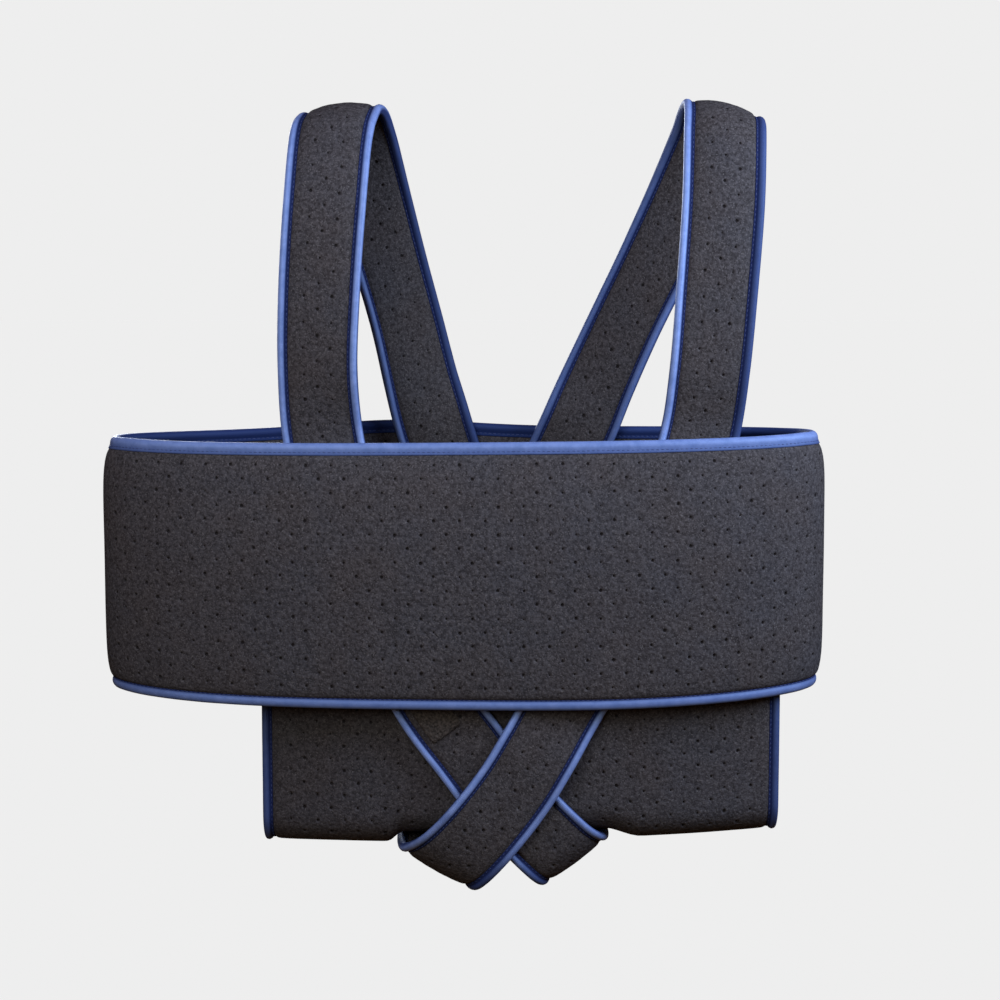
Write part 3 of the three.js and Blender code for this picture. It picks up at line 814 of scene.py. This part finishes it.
def hook_tab(name, strap, material):
    """The hook tab: a thin pad with rounded corners and a bevelled rim."""
    start, end = strap.tab_run
    length = end - start
    rows = round(length / TAB_CELL) + 1
    columns = round(2 * TAB_HALF_WIDTH / TAB_CELL) + 1
    far, wide = np.meshgrid(np.linspace(-1, 1, rows), np.linspace(-1, 1, columns), indexing="ij")
    half_length = length / 2
    over_far = np.clip(np.abs(far) * half_length - (half_length - TAB_CORNER), 0, None)
    over_wide = np.clip(np.abs(wide) * TAB_HALF_WIDTH - (TAB_HALF_WIDTH - TAB_CORNER), 0, None)
    square = np.maximum(over_far, over_wide)
    rounding = np.where(square > 0, square / np.maximum(np.hypot(over_far, over_wide), TINY), 1)
    along = far * half_length - np.sign(far) * over_far * (1 - rounding)
    across = wide * TAB_HALF_WIDTH - np.sign(wide) * over_wide * (1 - rounding)
    edge = np.minimum((1 - np.abs(far)) * half_length, (1 - np.abs(wide)) * TAB_HALF_WIDTH)
    crown = TAB_WALL * (TAB_EDGE_SHARE + (1 - TAB_EDGE_SHARE) * smooth_step(edge, *TAB_TAPER))
    place_along = (start + end) / 2 + along
    place_across = TAB_SHIFT + across
    top = strap.lifted(place_along, place_across, TAB_UNDER + crown)
    under = strap.lifted(place_along, place_across, np.full(along.shape, TAB_UNDER))
    points = np.vstack([top.reshape(-1, 3), under.reshape(-1, 3)])
    half = rows * columns
    faces = []

    def at(row, column):
        return row * columns + column

    for row in range(rows - 1):
        for column in range(columns - 1):
            face = (at(row, column), at(row + 1, column), at(row + 1, column + 1), at(row, column + 1))
            faces.append(face)
            faces.append(tuple(half + corner for corner in face[::-1]))
    rim = [at(row, 0) for row in range(rows)]
    rim += [at(rows - 1, column) for column in range(1, columns)]
    rim += [at(row, columns - 1) for row in range(rows - 2, -1, -1)]
    rim += [at(0, column) for column in range(columns - 2, 0, -1)]
    for here, there in zip(rim, rim[1:] + rim[:1]):
        faces.append((there, here, half + here, half + there))
    return mesh_object(name, points, faces, [material])


# Materials

def new_material(name):
    material = bpy.data.materials.new(name)
    material.use_nodes = True
    nodes = material.node_tree.nodes
    return material, nodes, material.node_tree.links, nodes["Principled BSDF"]


def noise_node(nodes, links, coordinate, scale, detail, roughness):
    noise = nodes.new("ShaderNodeTexNoise")
    noise.inputs["Scale"].default_value = scale
    noise.inputs["Detail"].default_value = detail
    noise.inputs["Roughness"].default_value = roughness
    links.new(coordinate, noise.inputs["Vector"])
    return noise.outputs["Fac"]


def remap(nodes, links, value, low, high, out_low=0.0, out_high=1.0):
    node = nodes.new("ShaderNodeMapRange")
    node.inputs["From Min"].default_value = low
    node.inputs["From Max"].default_value = high
    node.inputs["To Min"].default_value = out_low
    if isinstance(out_high, float):
        node.inputs["To Max"].default_value = out_high
    else:
        links.new(out_high, node.inputs["To Max"])
    links.new(value, node.inputs["Value"])
    return node.outputs["Result"]


def blend_colour(nodes, links, share, low, high):
    mix = nodes.new("ShaderNodeMix")
    mix.data_type = "RGBA"
    links.new(share, mix.inputs["Factor"])
    for socket, colour in ((mix.inputs["A"], low), (mix.inputs["B"], high)):
        if isinstance(colour, tuple):
            socket.default_value = (*colour, 1)
        else:
            links.new(colour, socket)
    return mix.outputs["Result"]


def add_bump(nodes, links, shader, height, strength, distance, under=None):
    bump = nodes.new("ShaderNodeBump")
    bump.inputs["Strength"].default_value = strength
    bump.inputs["Distance"].default_value = distance
    links.new(height, bump.inputs["Height"])
    if under is not None:
        links.new(under, bump.inputs["Normal"])
    links.new(bump.outputs["Normal"], shader.inputs["Normal"])
    return bump.outputs["Normal"]


def fabric_material():
    """Brushed charcoal pile: clumped tufts, scattered paler fibres, a soft nap and a drift of colour."""
    material, nodes, links, shader = new_material("perforated_fabric_pile")
    where = nodes.new("ShaderNodeTexCoord").outputs["Object"]
    clumps, tufts, fibres, cloud = (noise_node(nodes, links, where, *FABRIC[grain])
                                    for grain in ("clumps", "tufts", "fibres", "cloud"))
    clump_share = remap(nodes, links, clumps, *FABRIC["clump_span"])
    cool, warm = (blend_colour(nodes, links, clump_share, *FABRIC[shade]) for shade in ("cool", "warm"))
    body = blend_colour(nodes, links, remap(nodes, links, cloud, *FABRIC["cloud_span"]), cool, warm)
    hollows = remap(nodes, links, tufts, *FABRIC["deep_span"])
    deep = blend_colour(nodes, links, hollows, body, FABRIC["deep"])
    specks = remap(nodes, links, fibres, *FABRIC["speck_span"])
    colour = blend_colour(nodes, links, specks, deep, FABRIC["speck"])
    links.new(colour, shader.inputs["Base Color"])
    shader.inputs["Roughness"].default_value = FABRIC["roughness"]
    shader.inputs["Specular IOR Level"].default_value = FABRIC["specular"]
    nap = add_bump(nodes, links, shader, clumps, *FABRIC["clump_bump"])
    add_bump(nodes, links, shader, tufts, *FABRIC["tuft_bump"], nap)
    return material


def tape_material():
    """Satin binding with fine ribs across its run: royal blue with a painted highlight where its share of
    painted light is high, navy painted shade elsewhere; the share also sets its gloss.
    """
    material, nodes, links, shader = new_material("satin_binding")
    coordinates = nodes.new("ShaderNodeTexCoord")
    split = nodes.new("ShaderNodeSeparateXYZ")
    links.new(coordinates.outputs["UV"], split.inputs["Vector"])
    painted_light_and_gloss = split.outputs["Y"]
    waves = nodes.new("ShaderNodeTexWave")
    waves.wave_type = "BANDS"
    waves.bands_direction = "X"
    for socket, value in TAPE["ribs"].items():
        waves.inputs[socket].default_value = value
    links.new(coordinates.outputs["UV"], waves.inputs["Vector"])
    ribs = waves.outputs["Fac"]
    drift = noise_node(nodes, links, coordinates.outputs["Object"], *TAPE["drift"])
    bead = blend_colour(nodes, links, remap(nodes, links, drift, *TAPE["bead_span"]), *TAPE["bead"])
    ribbed = blend_colour(nodes, links, remap(nodes, links, ribs, *TAPE["rib_span"]), bead, TAPE["groove"])
    # Painted light and shade: bright blue as a painted highlight where the share is high, navy shade where
    # low.
    links.new(blend_colour(nodes, links, painted_light_and_gloss, TAPE["painted_shade_navy"], ribbed), shader.inputs["Base Color"])
    gloss = remap(nodes, links, drift, *TAPE["gloss_span"])
    links.new(remap(nodes, links, painted_light_and_gloss, 0, 1, TAPE["matt"], gloss), shader.inputs["Roughness"])
    shader.inputs["Specular IOR Level"].default_value = TAPE["specular"]
    shader.inputs["Specular Tint"].default_value = TAPE["tint"]
    creases = add_bump(nodes, links, shader, drift, *TAPE["crease_bump"])
    add_bump(nodes, links, shader, ribs, *TAPE["rib_bump"], creases)
    return material


def grained_material(name, look):
    """A material of two colours mixed by one fine grain, which also roughens it where it has a bump."""
    material, nodes, links, shader = new_material(name)
    where = nodes.new("ShaderNodeTexCoord").outputs["Object"]
    grain = noise_node(nodes, links, where, *look["grain"])
    share = remap(nodes, links, grain, *look["span"])
    links.new(blend_colour(nodes, links, share, *look["colours"]), shader.inputs["Base Color"])
    shader.inputs["Roughness"].default_value = look["roughness"]
    shader.inputs["Specular IOR Level"].default_value = look["specular"]
    if look["bump"] is not None:
        add_bump(nodes, links, shader, grain, *look["bump"])
    return material


# Assembly

def settle(piece, slot, *nodes):
    """Rides a piece on the part and lets it stand for its solids. slot is not used."""
    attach(piece, "root")
    if nodes:
        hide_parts(*nodes)


def dress(name, sheet, tapes, looks):
    """A fabric panel with its bindings and stitches. tapes maps a binding's name to the edge it covers."""
    panel = perforated_panel(f"{name}_panel", sheet, looks["fabric"], looks["hole"])
    settle(panel, "perforated_fabric", name)
    for node, edge in tapes.items():
        # Each tape's painted light and gloss: navy painted shade where it lies in shade, bright where light
        # falls.
        outside, inside = TAPE_PAINTED_LIGHT_AND_GLOSS[node]
        low, fold = LOW_PAINTED_LIGHT_AND_GLOSS.get(node, (outside, outside))
        gloss = dict(outside=outside, inside=inside, low=low, fold=fold)
        trim = binding(f"{node}_tape", sheet, edge, gloss, [looks["tape"], looks["leg"]])
        settle(trim, "binding_tape", node)
    seam = stitches(f"{name}_stitches", sheet, list(tapes.values()), looks["thread"])
    settle(seam, "binding_tape")


def build_vest():
    looks = dict(
        fabric=fabric_material(),
        hole=grained_material("perforation_shade", HOLE),
        tape=tape_material(),
        leg=grained_material("binding_leg_painted_shade", LEG_PAINTED_SHADE),
        thread=grained_material("binding_thread", THREAD),
    )
    straps = {
        "left": strap_sheet(LEFT_STRAP + fold_rows(LEFT_FOLD) + LEFT_RETURN),
        "right": strap_sheet(RIGHT_STRAP + fold_rows(RIGHT_FOLD) + RIGHT_RETURN),
    }
    outer_edge = {"left": -1, "right": 1}
    for side, sheet in straps.items():
        tapes = {
            f"strap_{side}_binding_outer": outer_edge[side],
            f"strap_{side}_binding_inner": -outer_edge[side],
        }
        dress(f"strap_{side}", sheet, tapes, looks)
    band_tapes = {"chest_band_binding_top": 1, "chest_band_binding_bottom": -1}
    dress("chest_band", band_sheet(), band_tapes, looks)
    sling_tapes = {"sling_binding_left": -1, "sling_binding_right": 1}
    dress("forearm_sling", sling_sheet(), sling_tapes, looks)
    tab = hook_tab("strap_tab_pad", straps["left"], grained_material("hook_tape_black", HOOK))
    settle(tab, "hook_tape", "strap_tab")


def point_at(thing, place, target):
    """Puts a light at a place and turns it towards a target."""
    thing.location = place
    direction = Vector(target) - Vector(place)
    thing.rotation_euler = direction.to_track_quat("-Z", "Y").to_euler()


def studio_world():
    """A pale surround for the camera and a dimmer warm fill for the object."""
    world = bpy.data.worlds.new("studio")
    bpy.context.scene.world = world
    world.use_nodes = True
    nodes = world.node_tree.nodes
    links = world.node_tree.links
    seen = nodes.new("ShaderNodeLightPath").outputs["Is Camera Ray"]
    colour = blend_colour(nodes, links, seen, FILL, (PALE, PALE, PALE))
    links.new(colour, nodes["Background"].inputs["Color"])


def studio_floor():
    """A wide pale floor whose lit colour equals the surround."""
    lowest = cad_box[0][2] - FLOOR_DROP
    half = FLOOR_SIZE / 2
    mesh = bpy.data.meshes.new("floor")
    corners = [(-half, -half, lowest), (half, -half, lowest), (half, half, lowest), (-half, half, lowest)]
    mesh.from_pydata(corners, [], [(0, 1, 2, 3)])
    material, _, _, shader = new_material("pale_floor")
    albedo = [PALE / (fill + SKY_STRENGTH / math.pi) for fill in FILL]
    shader.inputs["Base Color"].default_value = (*albedo, 1)
    shader.inputs["Roughness"].default_value = 1.0
    shader.inputs["Specular IOR Level"].default_value = 0.0
    mesh.materials.append(material)
    floor = bpy.data.objects.new("floor", mesh)
    bpy.context.scene.collection.objects.link(floor)
    floor.visible_diffuse = False
    floor.visible_glossy = False
    return floor


def light_only(light, thing, state):
    """Lets a light reach only the given thing, or all but it. state is INCLUDE or EXCLUDE."""
    reached = bpy.data.collections.new(f"reached_by_{light.name}")
    reached.objects.link(thing)
    reached.collection_objects[0].light_linking.link_state = state
    light.light_linking.receiver_collection = reached


def studio_lights(floor):
    """An overhead light for the floor alone, and for the vest alone a key, front, side and rear light."""
    sky = bpy.data.objects.new("sky", bpy.data.lights.new("sky", "SUN"))
    sky.data.energy = SKY_STRENGTH
    sky.data.angle = math.radians(SKY_ANGLE)
    light_only(sky, floor, "INCLUDE")
    bpy.context.scene.collection.objects.link(sky)
    for name, look in (("key", KEY), ("front", FRONT), ("side", SIDE), ("rear", REAR)):
        light = bpy.data.objects.new(name, bpy.data.lights.new(name, "AREA"))
        light.data.shape = "DISK"
        light.data.size = LIGHT_SIZE
        light.data.energy = look["power"]
        light.data.color = look["colour"]
        point_at(light, look["place"], LIGHT_AIM)
        light_only(light, floor, "EXCLUDE")
        bpy.context.scene.collection.objects.link(light)


def studio_camera():
    lens = bpy.data.cameras.new("camera")
    lens.sensor_width = CAMERA_SENSOR
    lens.lens = CAMERA_LENS
    lens.clip_start, lens.clip_end = CAMERA_CLIP
    camera = bpy.data.objects.new("camera", lens)
    camera.location = CAMERA_PLACE
    camera.rotation_euler = (math.radians(90 - CAMERA_PITCH), 0, 0)
    bpy.context.scene.collection.objects.link(camera)
    bpy.context.scene.camera = camera


def studio():
    bpy.context.scene.view_settings.view_transform = "Standard"
    studio_world()
    studio_lights(studio_floor())
    studio_camera()


build_vest()
studio()
